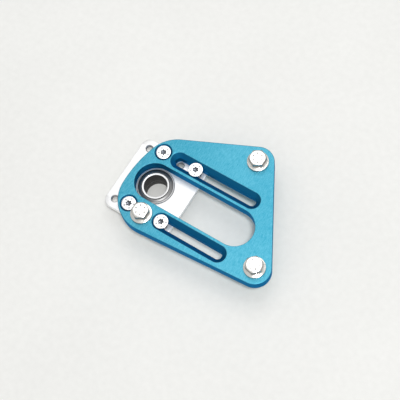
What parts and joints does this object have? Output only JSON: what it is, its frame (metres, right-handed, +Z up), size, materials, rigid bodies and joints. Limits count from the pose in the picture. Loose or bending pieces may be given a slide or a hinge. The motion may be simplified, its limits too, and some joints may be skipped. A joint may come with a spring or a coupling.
{
  "type": "pan tilt mount bearing plate",
  "caption": "Wedge-shaped slotted plate for a pan tilt mount: a pivot bearing sits in a clamped sliding carriage beneath it, and hex flange bolts hold its corners.",
  "frame": {"origin": "centre of the assembly's box, on the level that the hub and the long corner bolts stand on", "axes": "+X along the slots from the bearing end to the wide end; +Y across the plate towards the apex bolt; +Z up along the pivot axis"},
  "size_m": [0.1174, 0.0864, 0.0286],
  "materials": {
    "blue_anodised": "satin blue anodised, fine brushed grain",
    "bare_aluminium": "satin, bead blasted",
    "zinc_plated_steel": "bright zinc plate",
    "ground_bearing_steel": "ground and polished",
    "pressed_steel": "pressed sheet, dull",
    "bearing_balls": "polished"
  },
  "bodies": {
    "plate": {"slotted_plate": "blue_anodised", "index_screw_upper": "zinc_plated_steel", "index_screw_lower": "zinc_plated_steel", "flange_bolt_apex": "zinc_plated_steel", "flange_bolt_corner": "zinc_plated_steel", "flange_bolt_nose": "zinc_plated_steel"},
    "carriage": {"bearing_carriage": "bare_aluminium", "clamp_screw_upper": "zinc_plated_steel", "clamp_screw_lower": "zinc_plated_steel", "upper_bearing_outer_ring": "ground_bearing_steel", "lower_bearing_outer_ring": "ground_bearing_steel", "upper_bearing_shield_above": "pressed_steel", "upper_bearing_shield_below": "pressed_steel", "lower_bearing_shield_above": "pressed_steel", "lower_bearing_shield_below": "pressed_steel"},
    "pivot": {"upper_bearing_inner_ring": "ground_bearing_steel", "inner_spacer": "bare_aluminium", "lower_bearing_inner_ring": "ground_bearing_steel"},
    "upper_balls": {"upper_bearing_ball_cage": "pressed_steel", "upper_bearing_ball_01": "bearing_balls", "upper_bearing_ball_02": "bearing_balls", "upper_bearing_ball_03": "bearing_balls", "upper_bearing_ball_04": "bearing_balls", "upper_bearing_ball_05": "bearing_balls", "upper_bearing_ball_06": "bearing_balls", "upper_bearing_ball_07": "bearing_balls", "upper_bearing_ball_08": "bearing_balls", "upper_bearing_ball_09": "bearing_balls", "upper_bearing_ball_10": "bearing_balls", "upper_bearing_ball_11": "bearing_balls", "upper_bearing_ball_12": "bearing_balls", "upper_bearing_ball_13": "bearing_balls", "upper_bearing_ball_14": "bearing_balls"},
    "lower_balls": {"lower_bearing_ball_cage": "pressed_steel", "lower_bearing_ball_01": "bearing_balls", "lower_bearing_ball_02": "bearing_balls", "lower_bearing_ball_03": "bearing_balls", "lower_bearing_ball_04": "bearing_balls", "lower_bearing_ball_05": "bearing_balls", "lower_bearing_ball_06": "bearing_balls", "lower_bearing_ball_07": "bearing_balls", "lower_bearing_ball_08": "bearing_balls", "lower_bearing_ball_09": "bearing_balls", "lower_bearing_ball_10": "bearing_balls", "lower_bearing_ball_11": "bearing_balls", "lower_bearing_ball_12": "bearing_balls", "lower_bearing_ball_13": "bearing_balls", "lower_bearing_ball_14": "bearing_balls"}
  },
  "joints": [
    {"name": "carriage_slide", "type": "slide", "parent": "plate", "child": "carriage", "axis": [1, 0, 0], "range_m": [0, 0.041]},
    {"name": "pivot_spin", "type": "hinge", "parent": "carriage", "child": "pivot", "pos_m": [-0.0347, -0.0112, 0.008], "axis": [0, 0, 1], "continuous": true},
    {"name": "upper_balls_roll", "type": "hinge", "parent": "carriage", "child": "upper_balls", "pos_m": [-0.0347, -0.0112, 0.0118], "axis": [0, 0, 1], "continuous": true},
    {"name": "lower_balls_roll", "type": "hinge", "parent": "carriage", "child": "lower_balls", "pos_m": [-0.0347, -0.0112, 0.0033], "axis": [0, 0, 1], "continuous": true}
  ],
  "couplings": [
    {"joint": "upper_balls_roll", "follows": "pivot_spin", "ratio": 0.439},
    {"joint": "lower_balls_roll", "follows": "pivot_spin", "ratio": 0.439}
  ]
}
